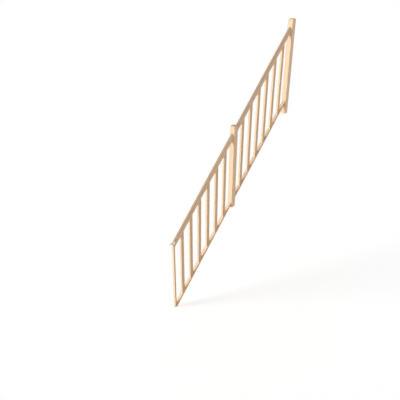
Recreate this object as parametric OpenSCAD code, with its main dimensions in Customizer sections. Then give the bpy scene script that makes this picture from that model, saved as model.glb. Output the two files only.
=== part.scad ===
// Stair balustrade panel in planed softwood.
// Two raking bays of flat spindles stand between a handrail and a base rail.
// The bays meet at a middle newel and end at an upper newel.
// X runs up the flight, Y runs in towards the flight and Z is up.
// The origin is on the inner face of the upper newel, at its foot fixing.

/* [Flight] */
// Slope of the rails above the horizontal, in degrees
slope = 44.7; // [36:0.1:50]
// Height of the handrail's top above the base rail's underside, measured plumb
guard_height = 1000; // [850:1:1150]

/* [Newels] */
// Side of the square newels
newel_side = 70; // [60:1:90]
// Height of a newel's top above the handrail, at the newel's downhill face
newel_rise = 96; // [60:1:200]
// How far the middle newel reaches below the base rail, at its downhill face
middle_foot_drop = 29; // [5:1:120]
// How far the upper newel reaches below the base rail, at its downhill face
upper_foot_drop = 135; // [90:1:300]
// Width of the bevel round a newel's top
newel_bevel = 4; // [2:0.5:10]

/* [Spindles] */
// Spindles in each bay
spindles_per_bay = 6; // [3:1:8]
// Clear gap between neighbouring spindles, measured level
spindle_gap = 111.5; // [80:0.5:120]
// Width of a spindle along the flight
spindle_width = 47; // [42:1:60]
// Thickness of a spindle across the flight
spindle_thickness = 28; // [24:1:38]

/* [Tenons] */
// Width of a spindle's tenon along the flight
tenon_width = 36; // [28:1:38]
// Thickness of a spindle's tenon across the flight
tenon_thickness = 16; // [12:1:20]
// Length of a tenon, square to the slope
tenon_length = 14; // [10:1:18]
// Clearance on each side of a tenon in its mortise
tenon_clearance = 0.3; // [0.1:0.05:0.5]

/* [End batten] */
// Width of the end batten along the flight
batten_width = 23; // [16:1:30]
// Thickness of the end batten across the flight
batten_thickness = 35; // [28:1:46]
// Depth of the batten's top below the handrail's top, at the end of the rails
batten_below_top = 38; // [28:1:50]
// Height of the batten's foot above the base rail's underside, at the end of the rails
batten_foot_rise = 6; // [0:1:30]

/* [Handrail] */
// Width of the handrail across the flight
handrail_width = 42; // [38:1:70]
// Depth of the handrail, square to the slope
handrail_depth = 48; // [42:1:60]
// Radius of the handrail's top edges
handrail_radius = 12; // [3:0.5:16]

/* [Base rail] */
// Width of the base rail across the flight
base_width = 44; // [38:1:70]
// Depth of the base rail, square to the slope
base_depth = 29; // [24:1:45]

/* [Edges] */
// Radius of the eased long edges of newels, rails and spindles
eased_edge = 2; // [1:0.5:3]

/* [Handrail bolt] */
// Diameter of the bolt that stands out of the handrail's lower end
bolt_diameter = 10; // [8:1:12]
// Diameter of the bolt's screw end, buried in the handrail
screw_diameter = 8; // [6:0.5:9]
// Bevel round the bolt's free end
bolt_bevel = 1.5; // [0.5:0.25:2]
// Length of bolt that stands out of the handrail
bolt_reach = 74; // [40:1:90]
// Length of bolt buried in the handrail
bolt_hold = 30; // [16:1:34]
// Depth of the bolt's axis below the handrail's top, measured plumb
bolt_below_top = 11; // [10:0.5:20]

/* [Mount] */
// Height of the foot fixing above the upper newel's bottom end
fixing_height = 60; // [45:1:80]

/* [Hidden] */

// Spindle names count from the lower end of the flight
function spindle_name(number) = str("spindle_", number < 10 ? "0" : "", number);
spindle_total = 2 * spindles_per_bay;

// Level distances along the flight, from the upper newel's centre
spindle_pitch = spindle_width + spindle_gap;
bay_length = spindles_per_bay * spindle_pitch + spindle_gap;
upper_bay_end = -newel_side / 2;
upper_bay_start = upper_bay_end - bay_length;
lower_bay_end = upper_bay_start - newel_side;
lower_bay_start = lower_bay_end - bay_length;

// The members share one centre line across the flight
middle_y = -newel_side / 2;

// Plumb heights of the two raking lines at a distance along the flight
function base_line(x) = upper_foot_drop - fixing_height + (x - upper_bay_end) * tan(slope);
function handrail_line(x) = base_line(x) + guard_height;

// Distance of the handrail's underside from the base rail's, square to the slope
handrail_underside = guard_height * cos(slope) - handrail_depth;

// Mortises and the screw's bore, each a little larger than what goes into it
mortise_width = tenon_width + 2 * tenon_clearance;
mortise_thickness = tenon_thickness + 2 * tenon_clearance;
tenon_end_room = 1;
bolt_clearance = 0.2;
screw_bore = screw_diameter + 2 * bolt_clearance;

// Room that a cutting shape leaves on each side of what it cuts
overcut = 100;
curve_faces = 48;

// Rectangle with eased corners, centred
module eased_rectangle(along, across, radius) {
    square([along - 2 * radius, across], center = true);
    square([along, across - 2 * radius], center = true);
    for (side = [-1, 1], end = [-1, 1])
        translate([side * (along / 2 - radius), end * (across / 2 - radius)])
            circle(r = radius, $fn = curve_faces);
}

// Rake a shape so that its X runs up the slope along the base rail's underside
module on_the_rake() {
    translate([upper_bay_end, middle_y, base_line(upper_bay_end)])
        rotate([0, -slope, 0])
            children();
}

// Raking bar of a drawn section, cut plumb at both ends
module raking_bar(start_x, end_x) {
    start_run = (start_x - upper_bay_end) / cos(slope);
    end_run = (end_x - upper_bay_end) / cos(slope);
    reach = guard_height + overcut;
    intersection() {
        on_the_rake()
            translate([start_run - reach, 0, 0])
                rotate([90, 0, 90])
                    linear_extrude(end_run - start_run + 2 * reach)
                        children();
        translate([start_x, middle_y - overcut, base_line(start_x) - overcut])
            cube([end_x - start_x, 2 * overcut, base_line(end_x) - base_line(start_x) + reach + overcut]);
    }
}

// Plumb bar of a drawn section, cut to the rake between two levels square to the slope
module plumb_bar(center_x, low, high) {
    intersection() {
        translate([center_x, middle_y, base_line(center_x) - overcut])
            linear_extrude(guard_height + 2 * overcut)
                children();
        on_the_rake()
            translate([(center_x - upper_bay_end) / cos(slope) - guard_height, -overcut, low])
                cube([2 * guard_height, 2 * overcut, high - low]);
    }
}

// Square newel with eased edges and a bevelled top
module newel(center_x, bottom, top) {
    body = newel_side / 2;
    shoulder = top - newel_bevel;
    outline = [[-body, bottom], [body, bottom], [body, shoulder],
        [body - newel_bevel, top], [newel_bevel - body, top], [-body, shoulder]];
    color("burlywood")
        translate([center_x, middle_y, 0])
            intersection() {
                translate([0, 0, bottom])
                    linear_extrude(top - bottom)
                        eased_rectangle(newel_side, newel_side, eased_edge);
                rotate([90, 0, 0])
                    linear_extrude(newel_side, center = true)
                        polygon(outline);
                rotate([90, 0, 90])
                    linear_extrude(newel_side, center = true)
                        polygon(outline);
            }
}

module upper_newel() {
    newel(0, -fixing_height, handrail_line(upper_bay_end) + newel_rise);
}

module middle_newel() {
    newel(lower_bay_end + newel_side / 2, base_line(lower_bay_end) - middle_foot_drop,
        handrail_line(lower_bay_end) + newel_rise);
}

// Where a bay starts and the centre of each of its spindles
function bay_start(bay) = bay == 0 ? lower_bay_start : upper_bay_start;
function spindle_x(bay, place) = bay_start(bay) + place * spindle_pitch - spindle_width / 2;

// The shoulders rest on the rails and the tenons, cut to the same rake, are set into them
module spindle(number) {
    bay = number > spindles_per_bay ? 1 : 0;
    center_x = spindle_x(bay, number - bay * spindles_per_bay);
    color("wheat") {
        plumb_bar(center_x, base_depth, handrail_underside)
            eased_rectangle(spindle_width, spindle_thickness, eased_edge);
        plumb_bar(center_x, base_depth - tenon_length, handrail_underside + tenon_length)
            square([tenon_width, tenon_thickness], center = true);
    }
}

// Plumb mortises across the face of a rail, a little deeper than the tenons are long
module mortises(bay, face) {
    depth = tenon_length + tenon_end_room;
    for (place = [1 : spindles_per_bay])
        plumb_bar(spindle_x(bay, place), face - depth, face + depth)
            square([mortise_width, mortise_thickness], center = true);
}

// Length of rail with a row of mortises in the face that meets the spindles
module rail(bay, face) {
    difference() {
        raking_bar(bay_start(bay), bay_start(bay) + bay_length)
            children();
        mortises(bay, face);
    }
}

// The handrail's top edges are rounded and its lower ones eased
module handrail(bay) {
    rail(bay, handrail_underside)
        translate([0, handrail_underside]) {
            translate([0, handrail_depth / 2])
                eased_rectangle(handrail_width, handrail_depth, handrail_radius);
            translate([0, handrail_depth / 4])
                eased_rectangle(handrail_width, handrail_depth / 2, eased_edge);
        }
}

module base_rail(bay) {
    color("burlywood")
        rail(bay, base_depth)
            translate([0, base_depth / 2])
                eased_rectangle(base_width, base_depth, eased_edge);
}

// The bolt's axis is level and starts on the lower handrail's plumb end
module at_the_bolt() {
    translate([lower_bay_start, middle_y, handrail_line(lower_bay_start) - bolt_below_top])
        rotate([0, 90, 0])
            children();
}

module lower_handrail() {
    color("peru")
        difference() {
            handrail(0);
            at_the_bolt()
                translate([0, 0, -overcut])
                    cylinder(d = screw_bore, h = overcut + bolt_hold, $fn = curve_faces);
        }
}

module upper_handrail() {
    color("peru")
        handrail(1);
}

module lower_base_rail() {
    base_rail(0);
}

module upper_base_rail() {
    base_rail(1);
}

module handrail_bolt() {
    tip = bolt_diameter / 2 - bolt_bevel;
    color("lightgray")
        at_the_bolt()
            rotate_extrude($fn = curve_faces)
                polygon([[0, -bolt_reach], [tip, -bolt_reach], [bolt_diameter / 2, bolt_bevel - bolt_reach],
                    [bolt_diameter / 2, 0], [screw_diameter / 2, 0],
                    [screw_diameter / 2, bolt_hold - bolt_clearance], [0, bolt_hold - bolt_clearance]]);
}

// The batten is fixed flat against the plumb ends of the two lower rails
module end_batten() {
    foot = base_line(lower_bay_start) + batten_foot_rise;
    top = handrail_line(lower_bay_start) - batten_below_top;
    color("wheat")
        translate([lower_bay_start - batten_width / 2, middle_y, foot])
            linear_extrude(top - foot)
                eased_rectangle(batten_width, batten_thickness, eased_edge);
}

upper_newel();
middle_newel();
end_batten();
lower_handrail();
upper_handrail();
lower_base_rail();
upper_base_rail();
for (number = [1 : spindle_total])
    spindle(number);
handrail_bolt();
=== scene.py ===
import math

import bpy
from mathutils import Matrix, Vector


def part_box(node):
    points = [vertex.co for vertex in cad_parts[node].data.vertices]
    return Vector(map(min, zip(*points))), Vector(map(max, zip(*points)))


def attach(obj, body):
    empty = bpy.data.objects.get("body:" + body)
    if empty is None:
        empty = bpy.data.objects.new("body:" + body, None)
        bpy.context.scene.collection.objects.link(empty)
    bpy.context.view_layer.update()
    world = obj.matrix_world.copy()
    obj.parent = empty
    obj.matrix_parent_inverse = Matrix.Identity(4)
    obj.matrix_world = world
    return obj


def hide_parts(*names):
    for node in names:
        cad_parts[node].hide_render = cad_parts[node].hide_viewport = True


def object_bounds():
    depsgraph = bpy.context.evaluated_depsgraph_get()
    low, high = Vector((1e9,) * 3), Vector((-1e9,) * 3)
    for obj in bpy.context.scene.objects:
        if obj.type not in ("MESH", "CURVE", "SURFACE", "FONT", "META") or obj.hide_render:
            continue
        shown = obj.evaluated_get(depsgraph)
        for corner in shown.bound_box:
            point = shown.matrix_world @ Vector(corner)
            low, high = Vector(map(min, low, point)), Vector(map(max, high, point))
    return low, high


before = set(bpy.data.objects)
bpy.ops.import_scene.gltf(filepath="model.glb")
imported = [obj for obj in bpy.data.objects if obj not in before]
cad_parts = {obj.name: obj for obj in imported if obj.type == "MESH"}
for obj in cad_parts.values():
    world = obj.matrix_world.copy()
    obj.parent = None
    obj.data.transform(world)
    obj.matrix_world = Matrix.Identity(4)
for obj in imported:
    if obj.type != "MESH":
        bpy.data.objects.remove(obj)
cad_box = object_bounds()

# Newels. The two square posts that carry the panel, planed from pine and cut off square at
# both ends. Their grain runs up the post, so the flat tops and the feet show the year rings.
EARLYWOOD = (0.845, 0.655, 0.455)
LATEWOOD = (0.70, 0.47, 0.27)
END_GRAIN = (0.70, 0.56, 0.41)
RING_WIDTH = 0.0032


def feed(tree, part, socket):
    """Links an output to a socket, or sets the socket to a plain number, vector or colour."""
    if isinstance(part, bpy.types.NodeSocket):
        tree.links.new(part, socket)
    else:
        socket.default_value = part


def number_from(tree, operation, *parts):
    """Gives the number that a Math node works out from its parts."""
    step = tree.nodes.new("ShaderNodeMath")
    step.operation = operation
    for part, socket in zip(parts, step.inputs):
        feed(tree, part, socket)
    return step.outputs["Value"]


def vector_from(tree, operation, *parts):
    """Gives what a Vector Math node works out from its parts: a vector, or else a number."""
    step = tree.nodes.new("ShaderNodeVectorMath")
    step.operation = operation
    for part, socket in zip(parts, step.inputs):
        feed(tree, part, socket)
    return step.outputs["Value" if operation in ("DOT_PRODUCT", "LENGTH") else "Vector"]


def ranged(tree, value, before, after, way="LINEAR"):
    """Carries a number from one range to another, and holds it at both ends."""
    spread = tree.nodes.new("ShaderNodeMapRange")
    spread.interpolation_type = way
    spread.inputs["From Min"].default_value, spread.inputs["From Max"].default_value = before
    spread.inputs["To Min"].default_value, spread.inputs["To Max"].default_value = after
    tree.links.new(value, spread.inputs["Value"])
    return spread.outputs["Result"]


def mixed(tree, share, first, second, blend="MIX"):
    """Mixes two colours by the share of the second."""
    mix = tree.nodes.new("ShaderNodeMix")
    mix.data_type = "RGBA"
    mix.blend_type = blend
    feed(tree, share, mix.inputs[0])
    feed(tree, first, mix.inputs[6])
    feed(tree, second, mix.inputs[7])
    return mix.outputs[2]


def seen_from(tree, place, centre, lean=0.0, half_size=(1, 1, 1)):
    """Gives a place as seen from a piece's centre, turned with its grain, in its half sizes."""
    own = tree.nodes.new("ShaderNodeMapping")
    own.vector_type = "TEXTURE"
    own.inputs["Location"].default_value = centre
    own.inputs["Rotation"].default_value = (0, lean, 0)
    own.inputs["Scale"].default_value = half_size
    tree.links.new(place, own.inputs["Vector"])
    return own.outputs["Vector"]


def noise_along(tree, grain, fineness, detail):
    """Adds noise that is as fine along each of the grain's axes as the fineness says."""
    noise = tree.nodes.new("ShaderNodeTexNoise")
    noise.inputs["Scale"].default_value = 1.0
    noise.inputs["Detail"].default_value = detail
    tree.links.new(vector_from(tree, "MULTIPLY", grain, fineness), noise.inputs["Vector"])
    return noise


def year_rings(tree, grain, earlywood, latewood):
    """Gives the year rings of a trunk that wanders by a few millimetres, and their colour."""
    wander = noise_along(tree, grain, (5, 5, 1.1), 2.0)
    swayed = vector_from(tree, "MULTIPLY_ADD", wander.outputs["Color"], (0.022, 0.022, 0), grain)
    rings = tree.nodes.new("ShaderNodeTexWave")
    rings.wave_type = "RINGS"
    rings.rings_direction = "Z"
    rings.wave_profile = "SAW"
    rings.inputs["Scale"].default_value = math.pi / 10 / RING_WIDTH
    rings.inputs["Distortion"].default_value = 0.9
    rings.inputs["Detail"].default_value = 2.0
    rings.inputs["Detail Scale"].default_value = 0.35
    tree.links.new(swayed, rings.inputs["Vector"])

    year = tree.nodes.new("ShaderNodeValToRGB")
    year.color_ramp.interpolation = "EASE"
    year.color_ramp.elements[0].position = 0.0
    year.color_ramp.elements[0].color = (*earlywood, 1)
    year.color_ramp.elements[1].position = 0.93
    year.color_ramp.elements[1].color = (*latewood, 1)
    summer = year.color_ramp.elements.new(0.5)
    summer.color = tuple(0.85 * early + 0.15 * late for early, late in zip(earlywood, latewood)) + (1,)
    tree.links.new(rings.outputs["Fac"], year.inputs["Fac"])
    return rings.outputs["Fac"], year.outputs["Color"]


def edge_share(tree, place, broad_streaks):
    """Gives how far hands have sanded the wood: most along the long edges, and unevenly."""
    across = tree.nodes.new("ShaderNodeSeparateXYZ")
    tree.links.new(vector_from(tree, "ABSOLUTE", place), across.inputs["Vector"])
    corner = number_from(tree, "MINIMUM", across.outputs["X"], across.outputs["Y"])
    uneven = number_from(tree, "MULTIPLY_ADD", broad_streaks, 0.12, corner)
    return ranged(tree, uneven, (0.96, 1.06), (0, 0.4), "SMOOTHSTEP")


def planed_pine(name, centre, section, to_heart, woods, face_light_and_shade, lean=0.0):
    """Pine of one stick: year rings round the tree's heart, fine fibres, rubbed edges, cut ends.

    The section is the stick's half sizes across the grain, and the heart lies to_heart from its
    centre. The woods are earlywood, latewood and end grain. The face pairs give the way that a
    long face looks and the painted light or shade laid on it as a lighter or darker tone. The lean
    turns the grain from plumb towards +X.
    """
    earlywood, latewood, end_grain = woods
    pine = bpy.data.materials.new(name)
    pine.use_nodes = True
    tree = pine.node_tree
    tree.nodes.clear()
    surface = tree.nodes.new("ShaderNodeTexCoord")
    place, normal = surface.outputs["Object"], surface.outputs["Normal"]
    grain = seen_from(tree, place, centre + to_heart, lean)
    rings, long_grain = year_rings(tree, grain, earlywood, latewood)

    # Fibres are hair thin across the grain and long along it, and streaks are broader
    fibres = noise_along(tree, grain, (700, 700, 14), 3.0).outputs["Fac"]
    streaks = noise_along(tree, grain, (38, 38, 1.6), 4.0).outputs["Fac"]
    fibre_shade = ranged(tree, fibres, (0.3, 0.7), (0.95, 1.05))
    streak_shade = ranged(tree, streaks, (0.3, 0.7), (0.955, 1.045))
    shade = number_from(tree, "MULTIPLY", fibre_shade, streak_shade)

    # Painted light and shade: each long face is made lighter or darker, matched to how that face of
    # the real piece looks in its light
    face_painted_colour = long_grain
    for looks, painted_light_or_shade in face_light_and_shade:
        turned_to = vector_from(tree, "DOT_PRODUCT", normal, looks)
        on_face = ranged(tree, turned_to, (0.35, 0.8), (0, 1), "SMOOTHSTEP")
        face_painted_colour = mixed(tree, on_face, face_painted_colour, (*painted_light_or_shade, 1), "MULTIPLY")

    # Cut ends soak up more lacquer: they are a little greyer and duller than the long faces
    along = (math.sin(lean), 0, math.cos(lean))
    square_on = number_from(tree, "ABSOLUTE", vector_from(tree, "DOT_PRODUCT", normal, along))
    cut_end = ranged(tree, square_on, (0.4, 0.68), (0, 1), "SMOOTHSTEP")
    end_rings = mixed(tree, 0.6, long_grain, (*end_grain, 1))
    grown = mixed(tree, cut_end, face_painted_colour, end_rings)

    # The long edges are sanded by hand, which leaves them uneven and a little paler
    stick = seen_from(tree, place, centre, lean, (*section, 1))
    paler = tuple(0.85 * part + 0.13 for part in earlywood)
    sanded = mixed(tree, edge_share(tree, stick, streaks), grown, (*paler, 1))
    shaded = vector_from(tree, "MULTIPLY", sanded, shade)

    sheen = ranged(tree, fibres, (0, 1), (0.42, 0.58))
    dullness = number_from(tree, "MULTIPLY_ADD", cut_end, 0.2, sheen)
    raised = tree.nodes.new("ShaderNodeBump")
    raised.inputs["Strength"].default_value = 0.25
    raised.inputs["Distance"].default_value = 0.0002
    tree.links.new(number_from(tree, "MULTIPLY_ADD", rings, 0.5, fibres), raised.inputs["Height"])

    lacquered = tree.nodes.new("ShaderNodeBsdfPrincipled")
    lacquered.inputs["IOR"].default_value = 1.45
    tree.links.new(shaded, lacquered.inputs["Base Color"])
    tree.links.new(dullness, lacquered.inputs["Roughness"])
    tree.links.new(raised.outputs["Normal"], lacquered.inputs["Normal"])
    finished = tree.nodes.new("ShaderNodeOutputMaterial")
    tree.links.new(lacquered.outputs["BSDF"], finished.inputs["Surface"])
    return pine


def dress(node, material):
    """Gives a CAD node its finished material."""
    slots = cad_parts[node].data.materials
    slots.clear()
    slots.append(material)


def middle(node):
    """Gives the centre of a CAD node's box."""
    low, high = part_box(node)
    return (low + high) / 2


NEWEL_WOODS = (EARLYWOOD, LATEWOOD, END_GRAIN)
NEWEL_HALF = (0.035, 0.035)
OUTWARDS = (0, -1, 0)
# Painted light: the newels' outward faces are made lighter
NEWEL_FACE_LIGHT = [(OUTWARDS, (1.15, 1.06, 1.01))]
NEWEL_HEARTS = {"upper_newel": (0.062, 0.048, 0), "middle_newel": (0.042, 0.068, 0)}
for node, to_heart in NEWEL_HEARTS.items():
    dress(node, planed_pine(
        "pine_" + node, middle(node), NEWEL_HALF, Vector(to_heart), NEWEL_WOODS, NEWEL_FACE_LIGHT))

# Handrails. Two lengths of pine with well rounded top edges. Painted shade makes their tops duller
# and browner than their sides, and painted light makes their outward sides lighter. They are cut
# plumb, butted to the newels and mortised below for the spindles.
SLOPE = math.radians(44.7)
RAKE_LEAN = math.pi / 2 - SLOPE
RAIL_TOP = (-math.sin(SLOPE), 0, math.cos(SLOPE))
HANDRAIL_WOODS = (EARLYWOOD, LATEWOOD, (0.88, 0.7, 0.53))
HANDRAIL_HALF = (0.024, 0.021)
# Painted light on the outward sides, and painted shade on the tops, deeper on the upper bay
HANDRAIL_FLANK_LIGHT = (1.1, 1.02, 0.99)
HANDRAIL_HEARTS = {"lower_handrail": (0.01, -0.055, 0.045), "upper_handrail": (0.01, -0.07, 0.045)}
HANDRAIL_TOP_SHADE = {"lower_handrail": (0.66, 0.61, 0.59), "upper_handrail": (0.62, 0.575, 0.56)}
for node, to_heart in HANDRAIL_HEARTS.items():
    dress(node, planed_pine(
        "pine_" + node, middle(node), HANDRAIL_HALF, Vector(to_heart), HANDRAIL_WOODS,
        [(OUTWARDS, HANDRAIL_FLANK_LIGHT), (RAIL_TOP, HANDRAIL_TOP_SHADE[node])], RAKE_LEAN))

# Base rails. Two straight lengths below the spindles, of the same pine as the newels, with
# lightly eased edges. Their tops are mortised for the spindles' lower tenons.
BASE_RAIL_HALF = (0.0145, 0.022)
# Painted shade darkens the base rails' outward sides; painted light brightens the lower rail's top,
# and painted shade dims the upper rail's top a little
BASE_RAIL_FLANK_SHADE = (0.97, 0.81, 0.68)
BASE_RAIL_HEARTS = {"lower_base_rail": (0.03, 0.05, -0.04), "upper_base_rail": (0.03, 0.07, -0.04)}
BASE_RAIL_TOP_LIGHT_AND_SHADE = {"lower_base_rail": (1.12, 1.1, 1.1), "upper_base_rail": (0.96, 0.94, 0.97)}
for node, to_heart in BASE_RAIL_HEARTS.items():
    dress(node, planed_pine(
        "pine_" + node, middle(node), BASE_RAIL_HALF, Vector(to_heart), NEWEL_WOODS,
        [(OUTWARDS, BASE_RAIL_FLANK_SHADE), (RAIL_TOP, BASE_RAIL_TOP_LIGHT_AND_SHADE[node])], RAKE_LEAN))

# Spindles. Twelve flat sticks of clear pine, six in a bay, tenoned into both rails. Each is
# ripped from another part of the board, so no two show the same rings.
SPINDLES = 12
SPINDLE_WOODS = ((0.855, 0.68, 0.49), LATEWOOD, END_GRAIN)
SPINDLE_HALF = (0.0235, 0.014)
DOWNHILL = (-1, 0, 0)
# Painted shade darkens and warms the spindles' outward faces, and painted light brightens their
# downhill faces
SPINDLE_FACE_LIGHT_AND_SHADE = [(OUTWARDS, (1.0, 0.86, 0.76)), (DOWNHILL, (1.03, 1.03, 1.03))]
HEART_TURN = 2.4
NEAREST_HEART = 0.03
HEART_STEP = 0.004
for number in range(1, SPINDLES + 1):
    node = f"spindle_{number:02d}"
    turn = HEART_TURN * number
    to_heart = Vector((math.cos(turn), math.sin(turn), 0)) * (NEAREST_HEART + HEART_STEP * number)
    dress(node, planed_pine(
        "pine_" + node, middle(node), SPINDLE_HALF, to_heart, SPINDLE_WOODS, SPINDLE_FACE_LIGHT_AND_SHADE))

# End batten. The thin pine upright that closes the lower bay. It is fixed flat against the
# plumb ends of the lower rails, and its square top stands just under the bolt.
BATTEN_HALF = (0.0115, 0.0175)
# Painted shade darkens the batten's outward face, and painted light brightens its downhill face
BATTEN_FACE_LIGHT_AND_SHADE = [(OUTWARDS, (0.95, 0.79, 0.66)), (DOWNHILL, (1.06, 1.05, 1.1))]
BATTEN_HEART = Vector((0.02, -0.06, 0))
dress("end_batten", planed_pine(
    "pine_end_batten", middle("end_batten"), BATTEN_HALF, BATTEN_HEART, SPINDLE_WOODS, BATTEN_FACE_LIGHT_AND_SHADE))

# Handrail bolt. A zinc plated hanger bolt: its wood screw end is buried in the handrail and
# its machine thread stands out level, ready to draw the rail up to the next post.
BOLT_LOW, BOLT_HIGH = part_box("handrail_bolt")
BOLT_AXIS = (BOLT_LOW + BOLT_HIGH) / 2
BOLT_RADIUS = (BOLT_HIGH.z - BOLT_LOW.z) / 2
BOLT_SIDES = 48
RAIL_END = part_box("lower_handrail")[0].x
THREAD_PITCH = 0.0015
THREAD_DEPTH = 0.00092
CREST_WIDTH = THREAD_PITCH * 0.3
OUTLINE_CUTS = 7
TURN_STEPS = 32
SPARE_TURNS = 2
PLAIN_SHANK = 0.009
THREAD_START = BOLT_LOW.x - SPARE_TURNS * THREAD_PITCH
THREAD_END = RAIL_END - PLAIN_SHANK
SCREW_RADIUS = 0.004
TIP_BEVEL = 0.0015
SMOOTH_UP_TO = math.radians(30)
WELD = 0.00001
CUT_SNAP = 1e-7


def select_points(wanted):
    """Goes into edit mode with only those points of the active piece selected that wanted takes."""
    bpy.ops.object.mode_set(mode="EDIT")
    bpy.ops.mesh.select_mode(type="VERT")
    bpy.ops.mesh.select_all(action="DESELECT")
    bpy.ops.object.mode_set(mode="OBJECT")
    for point in bpy.context.object.data.vertices:
        point.select = wanted(point.co)
    bpy.ops.object.mode_set(mode="EDIT")


def level_rod(start, end):
    """Adds a rod of the bolt's thickness on its axis."""
    bpy.ops.object.select_all(action="DESELECT")
    bpy.ops.mesh.primitive_cylinder_add(
        vertices=BOLT_SIDES, radius=BOLT_RADIUS, depth=end - start,
        location=((start + end) / 2, BOLT_AXIS.y, BOLT_AXIS.z), rotation=(0, math.pi / 2, 0))
    bpy.ops.object.transform_apply(location=True, rotation=True, scale=True)
    return bpy.context.object


# The thread's outline is one edge, a pitch long and raised at its crest, wound round the axis
bpy.ops.object.select_all(action="DESELECT")
bpy.ops.mesh.primitive_plane_add(size=THREAD_PITCH, location=(THREAD_START, BOLT_AXIS.y, BOLT_AXIS.z))
thread = bpy.context.object
select_points(lambda point: point.y > 0)
bpy.ops.mesh.delete(type="VERT")
bpy.ops.mesh.select_all(action="SELECT")
bpy.ops.mesh.subdivide(number_cuts=OUTLINE_CUTS)
bpy.ops.transform.translate(value=(0, THREAD_PITCH / 2, BOLT_RADIUS - THREAD_DEPTH))
select_points(lambda point: abs(point.x) < CREST_WIDTH / 2)
bpy.ops.transform.translate(value=(0, 0, THREAD_DEPTH))
bpy.ops.object.mode_set(mode="OBJECT")
winding = thread.modifiers.new("winding", "SCREW")
winding.axis = "X"
winding.screw_offset = THREAD_PITCH
winding.iterations = math.ceil((THREAD_END - BOLT_LOW.x) / THREAD_PITCH) + 2 * SPARE_TURNS
winding.steps = TURN_STEPS
winding.render_steps = TURN_STEPS
bpy.ops.object.modifier_apply(modifier=winding.name)
bpy.ops.object.transform_apply(location=True, rotation=True, scale=True)
bpy.ops.object.mode_set(mode="EDIT")
bpy.ops.mesh.select_all(action="SELECT")
bpy.ops.mesh.remove_doubles(threshold=WELD)

# It is wound a little too long at both ends, which are cut off square and closed
for cut, uphill in ((BOLT_LOW.x + TIP_BEVEL, False), (THREAD_END, True)):
    bpy.ops.mesh.select_all(action="SELECT")
    bpy.ops.mesh.bisect(
        plane_co=(cut, BOLT_AXIS.y, BOLT_AXIS.z), plane_no=(1, 0, 0), use_fill=True,
        clear_inner=not uphill, clear_outer=uphill, threshold=CUT_SNAP)
bpy.ops.mesh.select_all(action="SELECT")
bpy.ops.mesh.normals_make_consistent(inside=False)
bpy.ops.object.mode_set(mode="OBJECT")

# The free end is turned to a bevel, which leads the nut on to the thread
tip = level_rod(BOLT_LOW.x, BOLT_LOW.x + TIP_BEVEL + THREAD_PITCH / 2)
select_points(lambda point: point.x < BOLT_LOW.x + TIP_BEVEL / 2)
bpy.ops.mesh.select_mode(type="EDGE")
bpy.ops.mesh.bevel(offset=TIP_BEVEL, segments=1)
bpy.ops.object.mode_set(mode="OBJECT")

# The plain shank steps down at the rail to the screw end, which is buried in it
shank = level_rod(THREAD_END - THREAD_PITCH / 2, RAIL_END)
select_points(lambda point: point.x > THREAD_END + PLAIN_SHANK / 2)
bpy.ops.mesh.select_mode(type="FACE")
bpy.ops.mesh.inset(thickness=BOLT_RADIUS - SCREW_RADIUS)
bpy.ops.mesh.extrude_region_move(TRANSFORM_OT_translate={"value": (BOLT_HIGH.x - RAIL_END, 0, 0)})
bpy.ops.object.mode_set(mode="OBJECT")

bpy.ops.object.select_all(action="DESELECT")
for rod in (thread, tip, shank):
    rod.select_set(True)
bpy.context.view_layer.objects.active = thread
bpy.ops.object.join()
bpy.ops.object.shade_smooth_by_angle(angle=SMOOTH_UP_TO)
hanger_bolt = bpy.context.object
hanger_bolt.name = "hanger_bolt"

zinc = bpy.data.materials.new("bright_zinc")
zinc.use_nodes = True
tree = zinc.node_tree
tree.nodes.clear()
surface = tree.nodes.new("ShaderNodeTexCoord")
on_bolt = seen_from(tree, surface.outputs["Object"], BOLT_AXIS)

# Plating grows in small crystals and dulls in patches
crystals = tree.nodes.new("ShaderNodeTexVoronoi")
crystals.inputs["Scale"].default_value = 900.0
tree.links.new(on_bolt, crystals.inputs["Vector"])
patches = tree.nodes.new("ShaderNodeTexNoise")
patches.inputs["Scale"].default_value = 110.0
patches.inputs["Detail"].default_value = 4.0
tree.links.new(on_bolt, patches.inputs["Vector"])
plating = tree.nodes.new("ShaderNodeValToRGB")
plating.color_ramp.elements[0].position = 0.3
plating.color_ramp.elements[0].color = (0.66, 0.66, 0.64, 1)
plating.color_ramp.elements[1].position = 0.7
plating.color_ramp.elements[1].color = (0.84, 0.84, 0.82, 1)
tree.links.new(patches.outputs["Fac"], plating.inputs["Fac"])

# Painted shade: the thread's roots are made darker than its crests and the shank
radius = vector_from(tree, "LENGTH", vector_from(tree, "MULTIPLY", on_bolt, (0, 1, 1)))
crest = ranged(tree, radius, (BOLT_RADIUS - THREAD_DEPTH, BOLT_RADIUS - THREAD_DEPTH / 4), (0.55, 1))
root_shaded_plating = vector_from(tree, "MULTIPLY", plating.outputs["Color"], crest)
dulled = ranged(tree, patches.outputs["Fac"], (0, 1), (0.26, 0.5))
crystal_relief = tree.nodes.new("ShaderNodeBump")
crystal_relief.inputs["Strength"].default_value = 0.15
crystal_relief.inputs["Distance"].default_value = 0.0001
tree.links.new(crystals.outputs["Distance"], crystal_relief.inputs["Height"])
metal = tree.nodes.new("ShaderNodeBsdfPrincipled")
metal.inputs["Metallic"].default_value = 1.0
tree.links.new(root_shaded_plating, metal.inputs["Base Color"])
tree.links.new(dulled, metal.inputs["Roughness"])
tree.links.new(crystal_relief.outputs["Normal"], metal.inputs["Normal"])
plated = tree.nodes.new("ShaderNodeOutputMaterial")
tree.links.new(metal.outputs["BSDF"], plated.inputs["Surface"])
hanger_bolt.data.materials.append(zinc)
dress("handrail_bolt", zinc)

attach(hanger_bolt, "root")
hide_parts("handrail_bolt")

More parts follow.
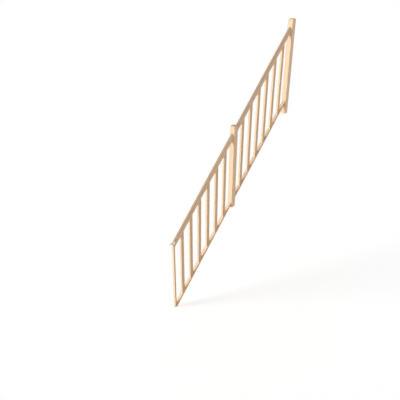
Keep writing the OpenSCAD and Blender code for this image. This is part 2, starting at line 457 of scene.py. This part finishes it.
# Floor, light and camera. A wide white floor lies under the lowest corner of the panel. Soft
# light comes in low from all round, and one broad lamp stands low on the downhill, inner side.
WHITE = (1, 1, 1, 1)
FLOOR_SIDE = 160
FLOOR_GAP = 0.0005
FLOOR_LIFT = 0.53
LOWEST_CORNER = cad_box[0]
bpy.ops.object.select_all(action="DESELECT")
bpy.ops.mesh.primitive_plane_add(size=FLOOR_SIDE, location=(0, 0, LOWEST_CORNER.z - FLOOR_GAP))
floor = bpy.context.object
floor.name = "floor"
bpy.ops.object.transform_apply(location=True, rotation=True, scale=True)


def shows_as_backdrop(tree):
    """Gives 1 to rays from the camera, and to those that metal sends on, and 0 to the rest."""
    ray = tree.nodes.new("ShaderNodeLightPath").outputs
    seen = number_from(tree, "MAXIMUM", ray["Is Camera Ray"], ray["Is Glossy Ray"])
    return number_from(tree, "MAXIMUM", seen, ray["Is Transmission Ray"])


paper = bpy.data.materials.new("floor_white")
paper.use_nodes = True
tree = paper.node_tree
tree.nodes.clear()
matt = tree.nodes.new("ShaderNodeBsdfDiffuse")
matt.inputs["Color"].default_value = (0.9, 0.9, 0.9, 1)
glow = tree.nodes.new("ShaderNodeEmission")
lift = number_from(tree, "MULTIPLY", shows_as_backdrop(tree), FLOOR_LIFT)
tree.links.new(lift, glow.inputs["Strength"])
both = tree.nodes.new("ShaderNodeAddShader")
tree.links.new(matt.outputs["BSDF"], both.inputs[0])
tree.links.new(glow.outputs["Emission"], both.inputs[1])
laid = tree.nodes.new("ShaderNodeOutputMaterial")
tree.links.new(both.outputs["Shader"], laid.inputs["Surface"])
floor.data.materials.append(paper)

# The sky is brightest at the horizon and dark overhead, and the camera sees plain white
SKY_LOW = 1.13
SKY_HIGH = 0.0
studio = bpy.data.worlds.new("studio")
bpy.context.scene.world = studio
studio.use_nodes = True
tree = studio.node_tree
tree.nodes.clear()
way = tree.nodes.new("ShaderNodeTexCoord")
height = tree.nodes.new("ShaderNodeSeparateXYZ")
tree.links.new(way.outputs["Generated"], height.inputs["Vector"])
soft = tree.nodes.new("ShaderNodeBackground")
soft.inputs["Color"].default_value = WHITE
tree.links.new(ranged(tree, height.outputs["Z"], (0, 1), (SKY_LOW, SKY_HIGH)), soft.inputs["Strength"])
white = tree.nodes.new("ShaderNodeBackground")
white.inputs["Color"].default_value = WHITE
white.inputs["Strength"].default_value = 1.0
choose = tree.nodes.new("ShaderNodeMixShader")
tree.links.new(shows_as_backdrop(tree), choose.inputs["Fac"])
tree.links.new(soft.outputs["Background"], choose.inputs[1])
tree.links.new(white.outputs["Background"], choose.inputs[2])
sky = tree.nodes.new("ShaderNodeOutputWorld")
tree.links.new(choose.outputs["Shader"], sky.inputs["Surface"])

TO_LAMP = Vector((-0.776, 0.606, 0.174))
LAMP_STRENGTH = 2.6
LAMP_BREADTH = math.radians(20)
bpy.ops.object.light_add(type="SUN")
lamp = bpy.context.object
lamp.name = "broad_lamp"
lamp.data.energy = LAMP_STRENGTH
lamp.data.angle = LAMP_BREADTH
lamp.rotation_euler = (-TO_LAMP).to_track_quat("-Z", "Y").to_euler()

CAMERA_PLACE = (-5.3924, -3.2552, 1.9300)
CAMERA_DOWN = math.radians(28.722)
CAMERA_RIGHT = math.radians(48.429)
FILM_WIDTH = 36
FOCAL_LENGTH = 41.0229
bpy.ops.object.camera_add(
    location=CAMERA_PLACE, rotation=(math.pi / 2 - CAMERA_DOWN, 0, -CAMERA_RIGHT))
camera = bpy.context.object
camera.data.sensor_width = FILM_WIDTH
camera.data.lens = FOCAL_LENGTH
bpy.context.scene.camera = camera

bpy.context.scene.view_settings.view_transform = "Standard"
